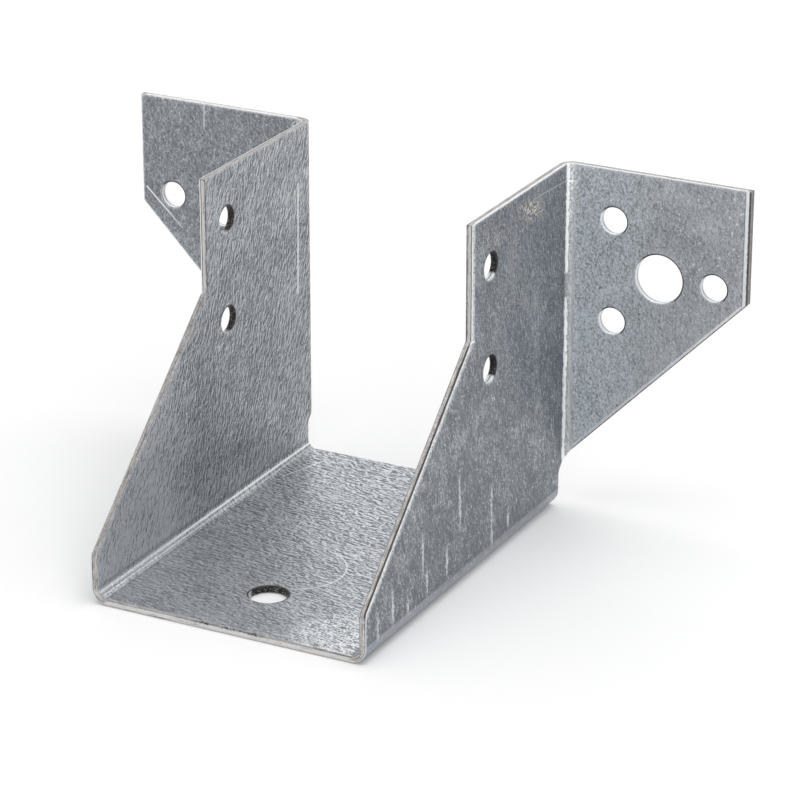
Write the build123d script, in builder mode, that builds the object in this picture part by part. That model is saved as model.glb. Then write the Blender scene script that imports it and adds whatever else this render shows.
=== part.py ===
from build123d import *
from math import atan, isclose, pi, sin
import os

# A joist hanger for one joist end, cut from one piece of galvanised strip and folded.
# Z = 0 is the underside of the seat. X runs across the joist and Y runs back, towards the beam.
# The origin is midway between the wings' rear faces and the seat's front edge.

os.makedirs("parts", exist_ok=True)

# Driving sizes, in millimetres
sheet = 1.3
seat_width = 51.0
overall_width = 123.5
overall_depth = 78.3
height = 65.5
cheek_depth = 38.0
wing_end_height = 21.0
lead_height = 9.0
lead_corner_radius = 2.0
seat_bend_radius = 1.7
wing_bend_radius = 1.3
relief_radius = 1.4
relief_clearance = 0.2

# Punched holes, in millimetres
nail_hole = 5.0
bolt_hole = 9.0
seat_hole = 7.0
hole_row_margin = 19.0
nail_pitch = 19.0
inner_nail_offset = 9.0
outer_nail_margin = 6.5
bolt_spacing = 10.5
cheek_nail_margin = 7.0
seat_hole_margin = 14.5
punch_rollover = 0.2

# How far the curved blade runs past each end of the bend, in degrees
blade_overrun = 10

# Faces of the sheet that the other places are measured from
beam_face = overall_depth / 2
wing_front = beam_face - sheet
seat_front = -overall_depth / 2
cheek_front = wing_front - cheek_depth
cheek_inside = seat_width / 2
cheek_outside = cheek_inside + sheet
wing_end = overall_width / 2
kink_height = height - wing_end_height

# The vertical bend between a cheek and its wing
bend_x = cheek_outside + wing_bend_radius
bend_y = wing_front - wing_bend_radius
bend_outer_radius = wing_bend_radius + sheet
bend_neutral_radius = wing_bend_radius + sheet / 2

# The wing's lower edge is one straight slant on the flat blank.
# It rises along the wing, wraps round the bend and ends in a rounded relief on the cheek.
slant = (kink_height - lead_height) / (wing_end - cheek_outside)
slant_at_wing = lead_height + slant * wing_bend_radius
bend_rise = slant * bend_neutral_radius * pi / 2
slant_at_cheek = slant_at_wing - bend_rise
blade_lead = bend_rise * blade_overrun / 90

# The relief's rounding stops just short of the bend, and the seat ends where it begins
seat_back = bend_y - relief_clearance - relief_radius * (1 - sin(atan(slant)))
relief_height = slant_at_cheek - slant * (bend_y - seat_back)

# Places of the holes: heights above the seat's underside, and distances out from the cheek
hole_row_height = height - hole_row_margin
upper_nail = hole_row_height + nail_pitch / 2
lower_nail = hole_row_height - nail_pitch / 2
outer_nail_offset = wing_end - cheek_outside - outer_nail_margin
bolt_offset = outer_nail_offset - bolt_spacing

# Planes on which holes are laid out: local Y runs up, and local X runs outwards on the wing
# and back on the cheek. On the seat, local Y runs back from its front edge.
wing_plane = Plane(origin=(-cheek_outside, beam_face, 0), x_dir=(-1, 0, 0), z_dir=(0, 1, 0))
cheek_plane = Plane(origin=(-cheek_inside, cheek_front, 0), x_dir=(0, 1, 0), z_dir=(1, 0, 0))
seat_plane = Plane(origin=(0, seat_front, sheet))

# The bend beside the left cheek, standing on its own axis and turned back by the blade's overrun
with BuildPart() as bend:
    with BuildSketch():
        with BuildLine():
            concave = CenterArc((0, 0), wing_bend_radius, blade_overrun, 90)
            convex = CenterArc((0, 0), bend_outer_radius, blade_overrun, 90)
            Line(concave @ 0, convex @ 0)
            Line(concave @ 1, convex @ 1)
        make_face()
    extrude(amount=height)

    # The slanted lower edge carried round the bend, square to the sheet all the way
    with BuildLine():
        Helix(4 * bend_rise, bend_rise + 2 * blade_lead, bend_neutral_radius,
              center=(0, 0, slant_at_cheek - blade_lead))
    with BuildSketch(Plane.XZ):
        with Locations((bend_neutral_radius, slant_at_cheek - blade_lead)):
            Rectangle(2 * sheet, height, align=(Align.CENTER, Align.MAX))
    sweep(is_frenet=True, mode=Mode.SUBTRACT)

with BuildPart() as hanger:
    # Left half of the channel: half the seat, the bend beside it and the cheek
    with BuildSketch(Plane.XZ.offset(-bend_y)):
        with BuildLine():
            Polyline((0, 0), (-cheek_outside, 0), (-cheek_outside, height), (-cheek_inside, height),
                     (-cheek_inside, sheet), (0, sheet), close=True)
        make_face()
        fillet(vertices().sort_by_distance((-cheek_inside, sheet))[0], seat_bend_radius)
        fillet(vertices().sort_by_distance((-cheek_outside, 0))[0], seat_bend_radius + sheet)
    extrude(amount=bend_y - seat_front)

    # The cheek's outline seen from the side, with the slanted front edge and the relief at the back
    with BuildSketch(Plane.YZ):
        with BuildLine():
            Polyline((seat_back, 0), (seat_back, relief_height), (bend_y, slant_at_cheek), (bend_y, height),
                     (cheek_front, height), (cheek_front, kink_height), (seat_front, lead_height),
                     (seat_front, 0), close=True)
        make_face()
        fillet(vertices().sort_by_distance((seat_back, relief_height))[0], relief_radius)
        fillet(vertices().sort_by_distance((seat_front, lead_height))[0], lead_corner_radius)
    extrude(amount=-cheek_outside, mode=Mode.INTERSECT)

    # The bend turns the cheek outwards into the wing
    with Locations((-bend_x, bend_y)):
        add(bend.part, rotation=(0, 0, -blade_overrun))

    # The wing
    with BuildSketch(Plane.XZ.offset(-beam_face)):
        with BuildLine():
            Polyline((-bend_x, slant_at_wing), (-wing_end, kink_height), (-wing_end, height),
                     (-bend_x, height), close=True)
        make_face()
    extrude(amount=sheet)

    # Holes in the wing and the cheek
    with Locations(wing_plane):
        with Locations((inner_nail_offset, lower_nail), (inner_nail_offset, upper_nail),
                       (outer_nail_offset, hole_row_height)):
            Hole(nail_hole / 2, sheet)
        with Locations((bolt_offset, hole_row_height)):
            Hole(bolt_hole / 2, sheet)
    with Locations(cheek_plane):
        with Locations((cheek_nail_margin, lower_nail), (cheek_nail_margin, upper_nail)):
            Hole(nail_hole / 2, sheet)

    mirror(about=Plane.YZ)

    # The hole in the seat
    with Locations(seat_plane):
        with Locations((0, seat_hole_margin)):
            Hole(seat_hole / 2, sheet)

    # The punch went in from the outside of the folds and rolled over each rim there
    rims = edges().filter_by(GeomType.CIRCLE).filter_by(lambda edge: edge.is_closed)
    wing_rims = rims.filter_by(lambda rim: isclose(rim.arc_center.Y, wing_front))
    cheek_rims = rims.filter_by(lambda rim: isclose(abs(rim.arc_center.X), cheek_outside))
    seat_rims = rims.filter_by(lambda rim: isclose(rim.arc_center.Z, 0, abs_tol=sheet / 2))
    fillet(wing_rims + cheek_rims + seat_rims, punch_rollover)

hanger.part.label = "hanger"
export_step(hanger.part, "parts/hanger.step")
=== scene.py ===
from functools import reduce
import math

import bpy
from mathutils import Euler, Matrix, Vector


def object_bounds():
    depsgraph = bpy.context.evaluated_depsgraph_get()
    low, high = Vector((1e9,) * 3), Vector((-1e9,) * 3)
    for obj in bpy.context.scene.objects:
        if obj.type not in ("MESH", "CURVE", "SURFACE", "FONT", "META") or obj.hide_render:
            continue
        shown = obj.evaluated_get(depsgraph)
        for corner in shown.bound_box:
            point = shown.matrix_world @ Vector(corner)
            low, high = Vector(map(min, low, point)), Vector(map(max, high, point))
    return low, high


# The looks of a joist hanger: one galvanised sheet, punched and folded, on a plain pale floor.
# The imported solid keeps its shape. It gets finely rounded arrises and one procedural finish, laid out
# on the flat sheet so that the coating's streaks run through the folds as they do on the real one.

MM = 0.001

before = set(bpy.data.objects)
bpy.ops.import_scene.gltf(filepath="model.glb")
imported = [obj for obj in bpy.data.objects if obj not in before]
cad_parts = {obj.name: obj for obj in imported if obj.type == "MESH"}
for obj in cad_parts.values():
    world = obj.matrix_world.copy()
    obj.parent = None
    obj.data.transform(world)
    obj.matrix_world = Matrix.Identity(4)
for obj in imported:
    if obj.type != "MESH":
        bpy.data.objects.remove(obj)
cad_low, cad_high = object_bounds()
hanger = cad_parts["hanger"]

# The folded sheet, in millimetres
sheet = 1.3
seat_inside_radius = 1.7
wing_inside_radius = 1.3
cheek_inside = 25.5
cheek_depth = 38.0
kink_height = 44.5
lead_height = 9.0
height = cad_high.z / MM
half_width = cad_high.x / MM
beam_face = cad_high.y / MM
seat_front = cad_low.y / MM
cheek_outside = cheek_inside + sheet
cheek_front = beam_face - sheet - cheek_depth

# Punched holes: radii, heights, and places across and back
nail_radius = 2.5
bolt_radius = 4.5
seat_hole_radius = 3.5
nail_pitch = 19.0
hole_row_height = height - 19.0
upper_nail = hole_row_height + nail_pitch / 2
lower_nail = hole_row_height - nail_pitch / 2
inner_nail_x = cheek_outside + 9.0
outer_nail_x = half_width - 6.5
bolt_x = outer_nail_x - 10.5
cheek_nail_y = cheek_front + 7.0
seat_hole_y = seat_front + 14.5

# Axes and mid-thickness radii of the bends
seat_axis_x = cheek_inside - seat_inside_radius
seat_axis_z = sheet + seat_inside_radius
seat_mid_radius = seat_inside_radius + sheet / 2
wing_axis_x = cheek_outside + wing_inside_radius
wing_axis_y = beam_face - sheet - wing_inside_radius
wing_mid_radius = wing_inside_radius + sheet / 2

# Where the bends, the cheeks and the wings end on the flat sheet, and the slants of their edges
seat_bend_end = seat_axis_x + seat_mid_radius * math.pi / 2
wing_bend_end = wing_axis_y + wing_mid_radius * math.pi / 2
wing_end = wing_bend_end + half_width - wing_axis_x
kink_out = seat_bend_end + kink_height - seat_axis_z
top_out = seat_bend_end + height - seat_axis_z
slant_rise = kink_height - lead_height
wing_slant = slant_rise / (half_width - cheek_outside)
front_angle = math.atan2(slant_rise, cheek_front - seat_front)

# The finish's own sizes: the rolled rims, the rounding of the arrises and the coating's relief
rim_width = 0.7
arris_radius = 0.06
relief_height = 0.06

# Marks on the flat sheet, where a place is (u, v): across from the seat's middle, and back or out.
# A straight mark has two ends and a width, and the arc has a middle, a radius and a width.
scored_line = ((-79.3, 32.96), (-58.1, 32.5), 0.6)
left_wing_scratch = ((-71.8, 72.5), (-64.8, 65.0), 0.45)
left_wing_nick = ((-89.8, 59.6), (-85.5, 59.7), 0.4)
right_cheek_scratch = ((87.5, 23.6), (86.9, 36.9), 0.4)
right_fold_scratch = ((86.75, 37.4), (86.8, 40.0), 0.55)
scribed_line = ((-23.05, 21.4), (-19.6, 31.6), 0.4)
scribed_arc = ((-1.2, -12.8), 9.0, 0.45)

# The middles of wider marks: a painted reflection on the seat's front right corner and two warm patches
glinting_corner = (19.5, -34.0)
warm_patch = (85.8, 22.8)
faint_warm_patch = (84.5, 7.5)

# Stretches across the sheet: a gap in a line, nicks in an edge, and where marks grow stronger
gap_in_foot_line = (65.0, 69.2)
nicked_stretch = (-6.0, 6.5)
scratch_fade = (63.5, 69.0)
scuffs_grow = (70.0, 86.0)

# The die's drags above the lower bends: place along the bend, foot and top
die_drags = [(-34.9, 28.8, 33.0), (-29.5, 29.4, 35.8), (-24.0, 29.0, 31.6),
             (-18.4, 34.2, 41.1), (-16.9, 29.8, 34.3), (-9.3, 29.9, 35.0),
             (-4.4, 37.4, 46.9), (8.2, 29.1, 40.2), (14.8, 29.8, 33.1)]

# Colours of zinc, from dark to bright, and of torn steel
ZINC_DARK_AND_SHADE = (0.13, 0.145, 0.165)
ZINC_SMOOTH_LIT = (0.36, 0.38, 0.42)
ZINC_LIGHT = (0.60, 0.62, 0.65)
ZINC_CREAM = (0.70, 0.69, 0.68)
ZINC_BLUE = (0.80, 0.855, 0.91)
ZINC_WARM = (0.88, 0.80, 0.68)
ZINC_WORN_AND_LIT = (0.80, 0.82, 0.84)
ZINC_HIGHLIGHT_AND_WEAR = (0.96, 0.97, 0.98)
STEEL_DARK_AND_SHADE = (0.012, 0.009, 0.008)
STEEL_TORN = (0.28, 0.265, 0.26)
STEEL_PALE = (0.70, 0.685, 0.67)

# The camera's angles in degrees and its lengths in millimetres, and what stands around the hanger
camera_azimuth = 27.52
camera_elevation = 22.166
camera_distance = 633.8
camera_shift = (11.33, -3.98)
aim_height = 33.0
lens_length = 162.73
sensor_width = 36
lamp_aim_height = 30.0
floor_gap = 0.1


class Value:
    """A number that a material works out at each point, for writing formulas with."""

    def __init__(self, tree, socket):
        self.tree = tree
        self.socket = socket

    def calculate(self, operation, *others):
        """Puts this value and the others, which may be plain numbers, through one Math node."""
        node = self.tree.nodes.new("ShaderNodeMath")
        node.operation = operation
        for place, term in zip(node.inputs, (self, *others)):
            if isinstance(term, Value):
                self.tree.links.new(term.socket, place)
            else:
                place.default_value = term
        return Value(self.tree, node.outputs[0])

    def __add__(self, other):
        return self.calculate("ADD", other)

    def __sub__(self, other):
        return self.calculate("SUBTRACT", other)

    def __mul__(self, other):
        return self.calculate("MULTIPLY", other)

    def __truediv__(self, other):
        return self.calculate("DIVIDE", other)

    def __rsub__(self, other):
        return (self * -1) + other

    __radd__ = __add__
    __rmul__ = __mul__

    def above(self, limit):
        return self.calculate("MAXIMUM", limit)

    def below(self, limit):
        return self.calculate("MINIMUM", limit)

    def size(self):
        return self.calculate("ABSOLUTE")

    def sign(self):
        return self.calculate("SIGN")

    def more_than(self, limit):
        return self.calculate("GREATER_THAN", limit)

    def length_with(self, other):
        return (self * self + other * other).calculate("SQRT")

    def angle_to(self, other):
        return self.calculate("ARCTAN2", other)

    def ramp(self, start, end):
        """Goes smoothly from 0 at start to 1 at end."""
        node = self.tree.nodes.new("ShaderNodeMapRange")
        node.interpolation_type = "SMOOTHSTEP"
        self.tree.links.new(self.socket, node.inputs["Value"])
        node.inputs["From Min"].default_value = start
        node.inputs["From Max"].default_value = end
        return Value(self.tree, node.outputs["Result"])

    def band(self, start, end, fade):
        """1 between start and end, fading to 0 outside them."""
        return self.ramp(start - fade, start) * self.ramp(end + fade, end)

    def blend(self, low, high):
        """low where this is 0 and high where it is 1."""
        return self * (high - low) + low


def strongest(values):
    """The highest of several values at each point."""
    return reduce(Value.above, values)


def make_vector(tree, *parts):
    """A vector's socket from its three parts, each a Value or a plain number."""
    node = tree.nodes.new("ShaderNodeCombineXYZ")
    for place, part in zip(node.inputs, parts):
        if isinstance(part, Value):
            tree.links.new(part.socket, place)
        else:
            place.default_value = part
    return node.outputs["Vector"]


def split_vector(tree, socket):
    """The three parts of a vector, each as a Value."""
    node = tree.nodes.new("ShaderNodeSeparateXYZ")
    tree.links.new(socket, node.inputs["Vector"])
    return [Value(tree, output) for output in node.outputs]


def noise(tree, place, detail=2.0, roughness=0.5, distortion=0.0):
    """Cloudy noise about 0, mostly within 0.3 of it, at a place that already holds its scale."""
    node = tree.nodes.new("ShaderNodeTexNoise")
    node.inputs["Scale"].default_value = 1.0
    node.inputs["Detail"].default_value = detail
    node.inputs["Roughness"].default_value = roughness
    node.inputs["Distortion"].default_value = distortion
    tree.links.new(make_vector(tree, *place), node.inputs["Vector"])
    return Value(tree, node.outputs["Fac"]) - 0.5


def mix_colours(tree, share, low, high):
    """low where share is 0 and high where it is 1. Each is a colour or a socket."""
    node = tree.nodes.new("ShaderNodeMix")
    node.data_type = "RGBA"
    tree.links.new(share.socket, node.inputs["Factor"])
    for place, colour in ((node.inputs[6], low), (node.inputs[7], high)):
        if isinstance(colour, tuple):
            place.default_value = (*colour, 1.0)
        else:
            tree.links.new(colour, place)
    return node.outputs[2]


class Blank:
    """The flat sheet's own coordinates in millimetres, at each point of the folded one.

    u runs from the seat's middle out through the bend and up the cheek and wing, and is negative on
    the left. out is the same without its sign. v runs back along the cheek and out along the wing.
    depth is 0 on the joist's side and the sheet's thickness on the other. flat is 1 on the two rolled
    faces and 0 on cut edges and the walls of holes. rim is 0 on the faces and grows towards an edge.
    """

    def __init__(self, tree):
        coordinates = tree.nodes.new("ShaderNodeTexCoord")
        x, y, z = [part * (1 / MM) for part in split_vector(tree, coordinates.outputs["Object"])]
        geometry = tree.nodes.new("ShaderNodeNewGeometry")
        normal = geometry.outputs["Normal"]
        normal_x, normal_y, normal_z = split_vector(tree, normal)
        side = x.sign()
        across = x.size()

        # From the seat bend's axis, outwards and down
        seat_out = (across - seat_axis_x).above(0.0)
        seat_down = (seat_axis_z - z).above(0.0)
        seat_distance = seat_out.length_with(seat_down)

        # From the wing bend's axis, inwards and back
        wing_in = (wing_axis_x - across).above(0.0)
        wing_back = (y - wing_axis_y).above(0.0)
        wing_distance = wing_in.length_with(wing_back)

        in_wing = y.more_than(wing_axis_y)
        self.depth = in_wing.blend(seat_distance - seat_inside_radius,
                                   wing_inside_radius + sheet - wing_distance)
        seat_turn = seat_mid_radius * seat_out.angle_to(seat_down)
        wing_turn = wing_mid_radius * wing_back.angle_to(wing_in)
        self.out = across.below(seat_axis_x) + seat_turn + (z - seat_axis_z).above(0.0)
        self.u = self.out * side
        self.v = y.below(wing_axis_y) + wing_turn + (across - wing_axis_x).above(0.0)

        along_channel = (seat_out * side * normal_x - seat_down * normal_z) / seat_distance
        along_wing = (wing_back * normal_y - wing_in * side * normal_x) / wing_distance
        self.flat = in_wing.blend(along_channel.size(), along_wing.size())

        self.outer = (self.depth / sheet).ramp(0.3, 0.7)
        self.inner = 1.0 - self.outer
        self.on_seat = self.out.ramp(seat_axis_x + 1, seat_axis_x)
        self.on_wing = self.v.ramp(wing_bend_end - 0.5, wing_bend_end + 1)
        self.right = side.above(0.0)
        self.left_cheek = (1.0 - self.right) * (1.0 - self.on_wing)
        self.side = side
        self.rim = self.rim_of_edges(tree, normal)
        self.holes = self.place_holes()

    def rim_of_edges(self, tree, normal):
        """How near an edge is: the normal of a rounded edge leaves the true one beside it."""
        rounded = tree.nodes.new("ShaderNodeBevel")
        rounded.samples = 4
        rounded.inputs["Radius"].default_value = rim_width * MM
        compare = tree.nodes.new("ShaderNodeVectorMath")
        compare.operation = "DOT_PRODUCT"
        tree.links.new(rounded.outputs["Normal"], compare.inputs[0])
        tree.links.new(normal, compare.inputs[1])
        return Value(tree, compare.outputs["Value"]).ramp(0.985, 0.80)

    def place_holes(self):
        """The holes of either side."""
        up = seat_bend_end - seat_axis_z
        along = wing_bend_end - wing_axis_x
        places = [(up + nail, along + inner_nail_x, nail_radius) for nail in (upper_nail, lower_nail)]
        places += [(up + nail, cheek_nail_y, nail_radius) for nail in (upper_nail, lower_nail)]
        places.append((up + hole_row_height, along + outer_nail_x, nail_radius))
        places.append((up + hole_row_height, along + bolt_x, bolt_radius))
        places.append((0.0, seat_hole_y, seat_hole_radius))
        turned = self.on_wing.blend(1.0, self.side)
        return [Hole(self, turned, *place) for place in places]

    def stroke(self, start, end, width):
        """1 on a straight mark between two places, fading to 0 at half a width from it."""
        run_u, run_v = end[0] - start[0], end[1] - start[1]
        length = math.hypot(run_u, run_v)
        from_u, from_v = self.u - start[0], self.v - start[1]
        along = from_u * (run_u / length) + from_v * (run_v / length)
        aside = from_u * (run_v / length) - from_v * (run_u / length)
        past = (along * -1).above(along - length).above(0.0)
        return past.length_with(aside).ramp(width / 2, width / 5)

    def away(self, middle):
        """The distance from a place."""
        return (self.u - middle[0]).length_with(self.v - middle[1])

    def arc(self, middle, radius, width):
        """1 on a thin circle, fading to 0 at half a width from it."""
        return (self.away(middle) - radius).size().ramp(width / 2, width / 5)


class Hole:
    """A hole, and how far each point is from its middle: out, to the picture's right, and straight.

    turned is 1 where v runs to the picture's right, and -1 on the left wing, where it runs left.
    """

    def __init__(self, blank, turned, out, along, radius):
        self.radius = radius
        self.out = blank.out - out
        beyond = blank.v - along
        self.aside = beyond * turned
        self.distance = self.out.length_with(beyond)


def make_streaks(tree, blank, layer):
    """The coating's streaks, which lean as they go up inside the cheeks, and a painted shading of their
    relief: light and dark pairs, the streaks less the same streaks shifted a little.
    """
    up_cheek = (blank.out - seat_bend_end).above(0.0)
    lean = up_cheek * blank.side * blank.inner * 0.28
    across = blank.u * blank.outer.blend(0.65, blank.on_wing.blend(0.9, 1.6))
    along = (blank.v + lean) * blank.outer.blend(1.7, 1.8)
    streaks = noise(tree, (across, along, layer), 2.5, 0.55, 0.9)
    beside = noise(tree, (across + 0.15, along + 0.4, layer), 2.5, 0.55, 0.9)
    return streaks, streaks - beside


class Coating:
    """The zinc's pattern on the two faces, with painted light and shade worked into its tone.

    tone is 0 where the zinc is darkest and 1 where it is lightest. blue is how much bluer it is, and
    flecks are bright specks. grain, broken and patches are noise that breaks up the other marks.
    """

    def __init__(self, tree, blank):
        u, v, out = blank.u, blank.v, blank.out
        outer, on_wing, right = blank.outer, blank.on_wing, blank.right
        layer = blank.depth * 5
        self.grain = noise(tree, (u * 2.5, v * 2.8, layer), 2.0, 0.6)
        self.broken = noise(tree, (u * 1.1, v * 3.0, blank.depth), 2.0, 0.6)
        self.patches = noise(tree, (u * 0.5, v * 0.7, layer + 20), 3.0, 0.7)
        clouds = noise(tree, (u * 0.11, v * 0.15, layer))
        flecks = noise(tree, (u * 1.9, v * 2.0, layer + 40), 1.0, 0.4)
        streaks, painted_relief_shading = make_streaks(tree, blank, layer)

        # From 0 to 1 towards a wing's fold, and towards the foot of a cheek or wing
        fold_side = v.ramp(wing_bend_end + 24, wing_bend_end)
        low = out.ramp(top_out - 12, kink_out - 14)

        # The streaks and their painted relief shading are strong on the joist's side, most so on the seat's
        # rear right, where the stronger contrast is partly painted glints
        cheek_streaks = v.ramp(-8, -24).blend(1.25, 1.55)
        seat_streaks = (u + v).ramp(-45, 25).blend(0.62, 2.0)
        lively = blank.on_seat.blend(cheek_streaks, seat_streaks)
        strong = (streaks * 0.95 + painted_relief_shading * 1.3) * lively
        fine = streaks * 0.4 + painted_relief_shading * on_wing.blend(0.6, 0.3)
        wing_grain = right.blend(0.6, fold_side.blend(0.45, 1.2))
        grain_share = outer.blend(0.6, on_wing.blend(0.65, wing_grain))
        cloud_share = outer.blend(0.4, on_wing.blend(0.35, 0.2))
        patch_share = outer.blend(0.1, on_wing.blend(low.blend(0.3, 0.68), 0.35))
        pattern = outer.blend(strong, fine) + self.grain * grain_share
        pattern = pattern + clouds * cloud_share + self.patches * patch_share

        # Painted light on the joist's side: the cheeks are lighter towards the front, the top and the lower
        # fold
        inner_cheek = v.ramp(-4, -22) * 0.38 + out.ramp(top_out - 22, top_out - 4) * 0.06
        inner_cheek = inner_cheek + out.ramp(seat_bend_end + 9, seat_bend_end) * 0.14 - 0.09
        inner_tone = blank.on_seat.blend(inner_cheek, -0.01)

        # The outer side is darker, except on the right wing, which is lightest at its fold: painted light
        # where the right cheek shades the wing
        outer_cheek = low.blend(-0.15, -0.20)
        left_wing = low.blend(-0.15, -0.10)
        right_wing = fold_side * 0.10 + low * 0.05 + 0.01
        outer_tone = on_wing.blend(outer_cheek, right.blend(left_wing, right_wing))

        # Both sides are lighter beside the cheeks' upright front edges
        near_front = (v - cheek_front).ramp(7.0, 0.5) * out.ramp(kink_out - 4, kink_out)
        face_tone = outer.blend(inner_tone, outer_tone) + near_front * outer.blend(0.06, 0.08)
        self.tone = pattern + face_tone + 0.48

        self.blue = right.blend(0.25, fold_side) * on_wing * outer
        fleck_share = outer.blend(0.4, on_wing.blend(0.45, right.blend(0.35, 0.65)))
        self.flecks = flecks.ramp(0.16, 0.24) * fleck_share


def wear_and_glints(blank, coating):
    """Where the coating is scratched, dragged or rubbed bright, and the painted reflection on the seat's
    front right corner, from 0 to 1.
    """
    grain, broken, patches = coating.grain, coating.broken, coating.patches

    # The press scored the left cheek
    scored = blank.stroke(*scored_line) * blank.inner * grain.ramp(-0.34, -0.04)

    # The sheet was scratched in handling
    scratches = strongest([blank.stroke(*left_wing_scratch) * blank.out.ramp(*scratch_fade).blend(0.3, 1.0),
                           blank.stroke(*left_wing_nick) * 0.5,
                           blank.stroke(*right_cheek_scratch) * 0.4,
                           blank.stroke(*right_fold_scratch) * grain.ramp(-0.3, 0.0)])

    # A small arc and a line were scribed on the seat
    scribed = blank.arc(*scribed_arc) * blank.u.ramp(1.0, 3.0) * 0.6
    scribed = scribed.above(blank.stroke(*scribed_line) * 0.9) * grain.ramp(-0.32, -0.05)

    # The die dragged on the outside of each cheek, above the bend
    drags = []
    for place, foot, top in die_drags:
        wander = broken * 1.6 + (blank.out - foot) * 0.03
        along = (blank.v + wander - place).size()
        drags.append(along.ramp(0.5, 0.1) * blank.out.band(foot, top - 2.5, 2.5))
    dragged = strongest(drags) * grain.ramp(-0.3, 0.1)

    # A painted reflection lights the seat's front right corner, in patches
    corner_glint = (blank.away(glinting_corner) + patches * 9.0).ramp(10.5, 8.0)
    corner_glint = corner_glint * (patches + grain * 1.4).ramp(-0.04, 0.16)

    return strongest([coating.flecks, scored, scratches * blank.outer * 0.9,
                      scribed * blank.inner * blank.on_seat, dragged * blank.outer * 0.8,
                      corner_glint * blank.inner * 0.9])


def paint_lower_bends(tree, blank, coating, colour):
    """The lower bends are smooth outside and lighter, a painted highlight along each bend, with a dark line
    of painted shade and stained zinc above them.
    """
    grain = coating.grain
    bend = blank.out.band(seat_axis_x + 0.6, seat_bend_end + 0.1, 0.5) * blank.outer
    line = blank.out.band(seat_bend_end + 0.6, seat_bend_end + 1.2, 0.6) * blank.outer
    stained = blank.out.band(seat_bend_end + 0.5, seat_bend_end + 2.5, 2.5) * blank.v.band(-10, 26, 8)
    stained = stained * blank.outer * (coating.patches + grain * 0.5).ramp(-0.12, 0.12)
    colour = mix_colours(tree, bend * 0.75, colour, ZINC_SMOOTH_LIT)
    colour = mix_colours(tree, line * grain.ramp(-0.2, 0.1) * 0.5, colour, ZINC_DARK_AND_SHADE)
    return mix_colours(tree, stained * 0.5, colour, ZINC_DARK_AND_SHADE)


def paint_warm_patches(tree, blank, coating, colour):
    """Two patches of warmer specks on the outside of the right cheek."""
    from_u, from_v = blank.u - warm_patch[0], blank.v - warm_patch[1]
    warm = (from_u * 2.1 + from_v * 0.6).length_with(from_v).ramp(6.5, 1.0)
    from_u, from_v = blank.u - faint_warm_patch[0], blank.v - faint_warm_patch[1]
    faint = (from_u * 1.5).length_with(from_v).ramp(6.0, 1.0) * 0.4
    specks = warm.above(faint) * blank.outer * coating.grain.ramp(-0.05, 0.12)
    return mix_colours(tree, specks, colour, ZINC_WARM)


def wing_fold_lines(blank, coating):
    """A bright line at the foot of each wing, a painted highlight of the bend broken up like worn zinc,
    with a gap in the right one, and beside it scuffs, a fainter painted highlight and a painted sheen.
    """
    grain, broken = coating.grain, coating.broken
    ragged = blank.v + broken * 1.5
    whole = 1.0 - blank.u.band(*gap_in_foot_line, 0.5) * 0.8
    line = ragged.band(wing_axis_y + 0.7, wing_axis_y + 1.4, 0.3) * broken.ramp(-0.34, -0.2) * whole
    scuffs = ragged.band(wing_axis_y + 1.6, wing_bend_end + 0.4, 1.2) * grain.ramp(0.02, 0.12)
    scuffs = scuffs * blank.out.ramp(*scuffs_grow).blend(0.4, 0.8)
    second_highlight = ragged.band(wing_bend_end - 0.6, wing_bend_end + 0.1, 0.5) * 0.4
    painted_sheen = blank.v.band(wing_axis_y + 1.6, wing_bend_end, 0.4) * 0.2
    return strongest([line, scuffs, second_highlight, painted_sheen])


def paint_folds(tree, blank, coating, colour):
    """Bright lines run along the folds, painted highlights of the bends broken up like worn zinc, and dark
    ones between those beside the seat, painted shade along with duller zinc towards the front.
    """
    grain, broken, out = coating.grain, coating.broken, blank.out
    # Painted shade between the seat's highlight lines and where the bend meets the cheek, and darker zinc
    # towards the front within the bend
    between = out.band(seat_axis_x + 1.8, seat_axis_x + 2.0, 0.25) * 0.3
    duller = out.band(seat_axis_x + 0.2, seat_axis_x + 1.7, 0.5) * blank.v.ramp(10.0, -12.0) * 0.6
    shade = out.band(seat_bend_end - 0.3, seat_bend_end + 0.2, 0.4) * 0.4
    colour = mix_colours(tree, between.above(duller) * blank.inner, colour, ZINC_DARK_AND_SHADE)
    colour = mix_colours(tree, shade * blank.inner, colour, ZINC_DARK_AND_SHADE)

    # Painted highlights along the seat's bends, ragged like worn zinc, and scuffs
    ragged = out + grain * 0.5
    line = ragged.band(seat_axis_x + 2.35, seat_axis_x + 2.65, 0.2)
    line = line * broken.ramp(-0.3, 0.1).blend(0.55, 0.95)
    second_highlight = ragged.band(seat_axis_x + 1.35, seat_axis_x + 1.5, 0.15) * broken.ramp(-0.3, 0.0) * 0.35
    scuffs = out.band(seat_axis_x - 1.0, seat_bend_end + 1.0, 1.0) * grain.ramp(0.1, 0.2) * 0.6
    beside_seat = strongest([line, second_highlight, scuffs]) * blank.inner
    lines = (wing_fold_lines(blank, coating) * blank.outer).above(beside_seat)
    return mix_colours(tree, lines, colour, ZINC_HIGHLIGHT_AND_WEAR)


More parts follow.
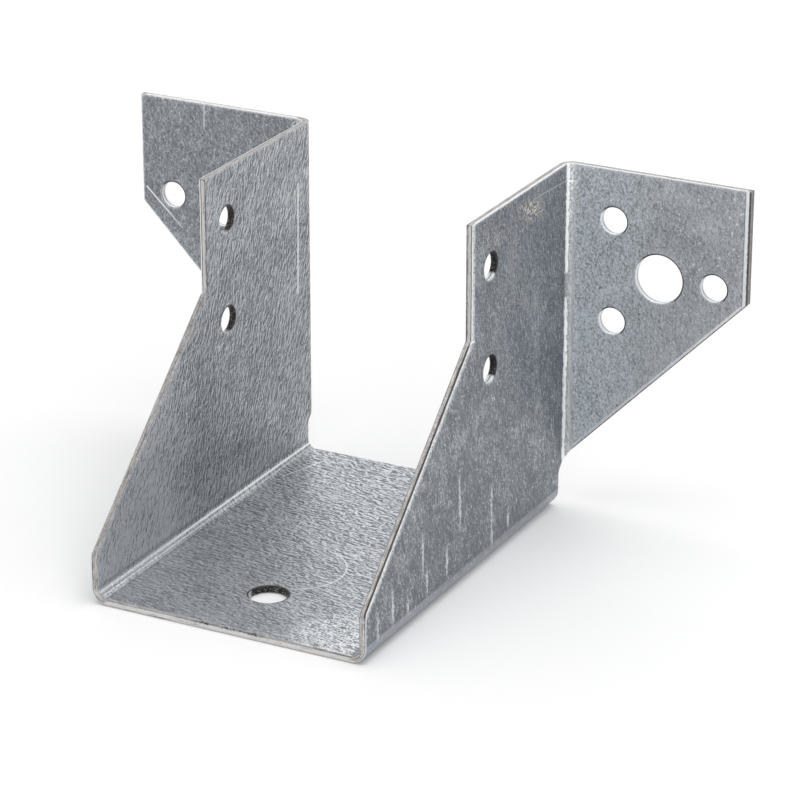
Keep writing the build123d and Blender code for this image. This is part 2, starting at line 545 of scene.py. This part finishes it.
def paint_rims(tree, blank, coating, colour):
    """The faces roll over towards the cut edges, and the coating is rubbed or torn there. The bright rims
    are partly rubbed zinc and partly a painted highlight along the rolled arrises.
    """
    grain = coating.grain
    # Bright rims: rubbed zinc with a painted highlight along the rolled arrises
    rolled = blank.rim * blank.outer.blend(0.35, 0.9) * coating.broken.ramp(-0.35, 0.05)

    # Along the front of each cheek, which is upright above the kink and slanted below it
    behind = blank.v - cheek_front
    over_kink = blank.out - kink_out
    upright = behind.band(0.0, 0.7, 0.2) * over_kink.ramp(-0.5, 0.0)
    from_slant = behind * math.sin(front_angle) - over_kink * math.cos(front_angle)
    slanted = from_slant.ramp(1.2, 0.3) * over_kink.ramp(0.3, -0.3)
    front = (upright * 0.65 + slanted * 0.6) * blank.outer * grain.ramp(-0.2, 0.05)

    # Along the right wing's end and its slanted edge, where the outermost strip is torn
    right_outside = blank.outer * blank.right
    from_end = wing_end - blank.v + grain * 0.25
    from_slant = (over_kink - (blank.v - wing_end) * wing_slant) / math.hypot(1.0, wing_slant)
    from_slant = from_slant + grain * 0.15
    worn_end = from_end.band(0.45, 0.95, 0.1) * 0.7
    worn_slant = from_slant.band(0.25, 0.6, 0.1) * blank.on_wing * 0.6
    worn = worn_end.above(worn_slant) * right_outside
    colour = mix_colours(tree, strongest([rolled, front, worn]), colour, ZINC_HIGHLIGHT_AND_WEAR)
    torn = strongest([from_end.ramp(0.45, 0.3), from_end.band(1.05, 1.15, 0.1) * 0.35,
                      from_slant.ramp(0.25, 0.1) * blank.on_wing])
    return mix_colours(tree, torn * right_outside * 0.85, colour, STEEL_DARK_AND_SHADE)


def hole_rings(blank):
    """Painted shade: dark around the upper right side of each hole, where its wall is in shade."""
    rings = []
    for hole in blank.holes:
        ring = hole.distance.band(hole.radius - 0.2, hole.radius + 0.24, 0.12)
        rings.append(ring * (hole.out + hole.aside).ramp(-hole.radius * 0.5, hole.radius * 0.2))
    return strongest(rings)


def paint_coating(tree, blank, coating, bright):
    """The rolled faces, with their folds and their rims beside cut edges."""
    light = mix_colours(tree, coating.blue, ZINC_LIGHT, ZINC_BLUE)
    colour = mix_colours(tree, coating.tone.ramp(0.1, 0.9), ZINC_DARK_AND_SHADE, light)
    colour = paint_lower_bends(tree, blank, coating, colour)
    colour = paint_warm_patches(tree, blank, coating, colour)
    colour = mix_colours(tree, bright, colour, ZINC_WORN_AND_LIT)
    colour = paint_folds(tree, blank, coating, colour)
    colour = paint_rims(tree, blank, coating, colour)
    return mix_colours(tree, hole_rings(blank) * 0.9, colour, STEEL_DARK_AND_SHADE)


class CutEdge:
    """Which cut edge a point is on, and how far across it: 0 beside the joist, and 1 on the outside."""

    def __init__(self, blank, coating):
        self.across = blank.depth / sheet + coating.broken * 0.10
        slanted = blank.out.band(seat_bend_end + 6, kink_out - 1, 1.0) * blank.v.ramp(1.0, -1.0)
        self.right_slant = slanted * blank.right
        self.left_slant = slanted * (1.0 - blank.right)
        at_front = blank.v.ramp(cheek_front + 1.5, cheek_front + 1.0)
        self.upright = blank.out.ramp(kink_out - 0.5, kink_out) * at_front
        self.top = blank.out.ramp(top_out - 0.3, top_out - 0.1)
        self.left_top = self.top * blank.left_cheek
        self.lined = self.upright.above(self.left_top)

        # Where the smeared zinc starts: the lower the number, the more of the edge it covers
        on_front = self.right_slant.blend(self.upright.blend(0.82, 0.26), 0.72)
        on_top = blank.on_wing.blend(blank.right.blend(0.75, 0.5), blank.right.blend(0.15, 0.5))
        self.smear_start = blank.on_seat.blend(self.top.blend(on_front, on_top), 0.25)


def cut_lines(blank, coating, edge):
    """Thin dark lines along the cut edges, and small nicks in the seat's front one."""
    grain, across = coating.grain, edge.across
    place = edge.lined.blend(edge.smear_start, 0.76)
    width = edge.right_slant.blend(0.07, 0.14)
    line = ((across - place).size() / width).ramp(1.3, 0.8)
    line = line * edge.right_slant.blend(edge.lined.blend(0.45, 0.75), 0.9)
    near_underside = across.band(0.80, 0.84, 0.04) * blank.on_seat * 0.2
    beside_joist = across.ramp(0.28, 0.14) * grain.ramp(-0.25, 0.05)
    beside_joist = beside_joist * blank.on_seat.blend(edge.upright.blend(0.5, 0.8), 0.25)
    nicks = blank.u.band(*nicked_stretch, 2.0) * blank.on_seat * across.ramp(0.5, 0.38)
    nicks = nicks * (grain + coating.broken * 0.5).ramp(0.02, 0.08)
    return strongest([line, near_underside, beside_joist, nicks])


def hole_walls(blank):
    """Where the walls of holes get painted shade, further round in the left cheek, and where they get
    painted light.
    """
    further = blank.left_cheek * 0.25
    torn, painted_light_on_walls = [], []
    for hole in blank.holes:
        inside = hole.distance.ramp(hole.radius + 0.35, hole.radius + 0.15)
        extra = further * hole.radius
        shaded_side = (hole.aside + extra).ramp(0.0, hole.radius * 0.4)
        shaded_side = shaded_side * (hole.out + extra).ramp(-hole.radius * 0.85, -hole.radius * 0.65)
        torn.append(shaded_side * inside)
        painted_light_on_walls.append(inside * (1.0 - shaded_side))
    return strongest(torn), strongest(painted_light_on_walls)


def paint_cut(tree, blank, coating):
    """Across a cut edge: torn steel, zinc smeared in from the outer side, and thin dark lines."""
    grain, broken = coating.grain, coating.broken
    edge = CutEdge(blank, coating)
    across = edge.across
    sheared = noise(tree, (blank.u * 0.3, blank.v * 0.3, blank.depth * 4.5), 2.0, 0.6)
    torn_tone = (grain * 0.7 + broken * 0.4 + sheared).ramp(-0.25, 0.2)
    colour = mix_colours(tree, torn_tone, STEEL_TORN, STEEL_PALE)
    smear = (across - edge.smear_start).ramp(0.02, 0.10)
    colour = mix_colours(tree, smear * (grain * 0.5 + sheared).ramp(-0.3, 0.0), colour, ZINC_CREAM)
    # A painted highlight along the outer arris of the upright fronts and the left cheek's top
    outer_line = across.ramp(0.84, 0.90) * edge.lined * 0.6
    colour = mix_colours(tree, outer_line, colour, ZINC_HIGHLIGHT_AND_WEAR)

    # The wings' ends were sheared from the strip and are torn all through
    at_end = blank.v.ramp(wing_end - 1.1, wing_end - 0.4) * grain.ramp(-0.3, 0.1) * 0.75
    top_shade = edge.top * (1.0 - smear) * 0.3
    left_shade = edge.left_slant.above(edge.left_top) * 0.3
    # Painted shade on one side of each hole's wall, painted light on the rest
    torn, painted_light_on_walls = hole_walls(blank)
    dark = strongest([cut_lines(blank, coating, edge), at_end, top_shade, left_shade,
                      torn * grain.ramp(-0.35, 0.0)])
    colour = mix_colours(tree, dark, colour, STEEL_DARK_AND_SHADE)

    # The rest of a hole's wall gets painted light, with a dark line round it
    colour = mix_colours(tree, painted_light_on_walls, colour, ZINC_WORN_AND_LIT)
    wall_line = painted_light_on_walls * across.band(0.38, 0.48, 0.05) * grain.ramp(-0.3, -0.05) * 0.8
    return mix_colours(tree, wall_line, colour, STEEL_DARK_AND_SHADE)


def galvanised_sheet():
    """Zinc-coated steel: streaky grey mottling, arrises and folds rubbed bright and painted with
    highlights, painted light and shade, and torn cut edges.
    """
    material = bpy.data.materials.new("galvanised_sheet")
    material.use_nodes = True
    tree = material.node_tree
    shader = tree.nodes["Principled BSDF"]
    blank = Blank(tree)
    coating = Coating(tree, blank)
    bright = wear_and_glints(blank, coating)
    faces = paint_coating(tree, blank, coating, bright)
    cuts = paint_cut(tree, blank, coating)
    colour = mix_colours(tree, blank.flat.ramp(0.6, 0.25), faces, cuts)
    tree.links.new(colour, shader.inputs["Base Color"])
    shader.inputs["Metallic"].default_value = 0.6
    roughness = coating.tone.blend(0.50, 0.34) - bright * 0.08
    tree.links.new(roughness.socket, shader.inputs["Roughness"])

    bump = tree.nodes.new("ShaderNodeBump")
    bump.inputs["Distance"].default_value = relief_height * MM
    tree.links.new(coating.tone.socket, bump.inputs["Height"])
    tree.links.new(bump.outputs["Normal"], shader.inputs["Normal"])
    return material


def round_arrises(piece):
    """Welds the solid's faces into one skin, clears the lines inside flat faces and rounds its arrises."""
    weld = piece.modifiers.new("one_skin", "WELD")
    weld.merge_threshold = 0.001 * MM
    clear = piece.modifiers.new("flat_faces", "DECIMATE")
    clear.decimate_type = "DISSOLVE"
    clear.angle_limit = math.radians(0.1)
    arris = piece.modifiers.new("arrises", "BEVEL")
    arris.limit_method = "ANGLE"
    arris.angle_limit = math.radians(35)
    arris.width = arris_radius * MM
    arris.segments = 2
    arris.harden_normals = True


def plain_material(name, colour):
    """A dull material of one colour."""
    material = bpy.data.materials.new(name)
    material.use_nodes = True
    shader = material.node_tree.nodes["Principled BSDF"]
    shader.inputs["Base Color"].default_value = (*colour, 1.0)
    shader.inputs["Roughness"].default_value = 0.9
    shader.inputs["Specular IOR Level"].default_value = 0.1
    return material


def make_floor():
    """A wide pale floor, just below the hanger."""
    half_side = 6.0
    mesh = bpy.data.meshes.new("floor")
    corners = [(-half_side, -half_side, 0), (half_side, -half_side, 0),
               (half_side, half_side, 0), (-half_side, half_side, 0)]
    mesh.from_pydata(corners, [], [(0, 1, 2, 3)])
    floor = bpy.data.objects.new("floor", mesh)
    floor.location.z = -floor_gap * MM
    bpy.context.collection.objects.link(floor)
    floor.data.materials.append(plain_material("floor", (0.96, 0.96, 0.96)))


def make_world():
    """White where the camera or a reflection sees it, and a plain soft light elsewhere."""
    world = bpy.data.worlds.new("studio")
    world.use_nodes = True
    tree = world.node_tree
    background = tree.nodes["Background"]
    path = tree.nodes.new("ShaderNodeLightPath")
    kinds = ("Is Camera Ray", "Is Glossy Ray", "Is Transmission Ray")
    seen = strongest([Value(tree, path.outputs[kind]) for kind in kinds])
    background.inputs["Color"].default_value = (1.0, 1.0, 1.0, 1.0)
    tree.links.new(seen.blend(0.7, 1.0).socket, background.inputs["Strength"])
    bpy.context.scene.world = world


def add_softbox(name, place, width, power):
    """A square soft lamp, aimed at the middle of the hanger."""
    lamp = bpy.data.lights.new(name, "AREA")
    lamp.shape = "SQUARE"
    lamp.size = width
    lamp.energy = power
    box = bpy.data.objects.new(name, lamp)
    box.location = place
    aim = Vector((0, 0, lamp_aim_height * MM)) - Vector(place)
    box.rotation_euler = aim.to_track_quat("-Z", "Y").to_euler()
    bpy.context.collection.objects.link(box)


def add_camera():
    """A long lens at the photograph's viewing angle."""
    data = bpy.data.cameras.new("camera")
    data.lens = lens_length
    data.sensor_width = sensor_width
    data.clip_end = 50
    camera = bpy.data.objects.new("camera", data)
    turn = Euler((math.pi / 2 - math.radians(camera_elevation), 0, math.radians(camera_azimuth)))
    aim = Vector((0, 0, aim_height)) * MM
    beside = Vector((*camera_shift, camera_distance)) * MM
    camera.rotation_euler = turn
    camera.location = aim + turn.to_matrix() @ beside
    bpy.context.collection.objects.link(camera)
    bpy.context.scene.camera = camera


round_arrises(hanger)
hanger.data.materials.clear()
hanger.data.materials.append(galvanised_sheet())

make_floor()
make_world()
add_softbox("top", place=(0.2, 0.1, 1.3), width=1.0, power=6.5)
add_softbox("right", place=(0.9, -1.0, 0.7), width=0.8, power=3.0)
add_softbox("back", place=(-0.55, 1.1, 0.55), width=0.7, power=1.5)
add_camera()
bpy.context.scene.view_settings.view_transform = "Standard"
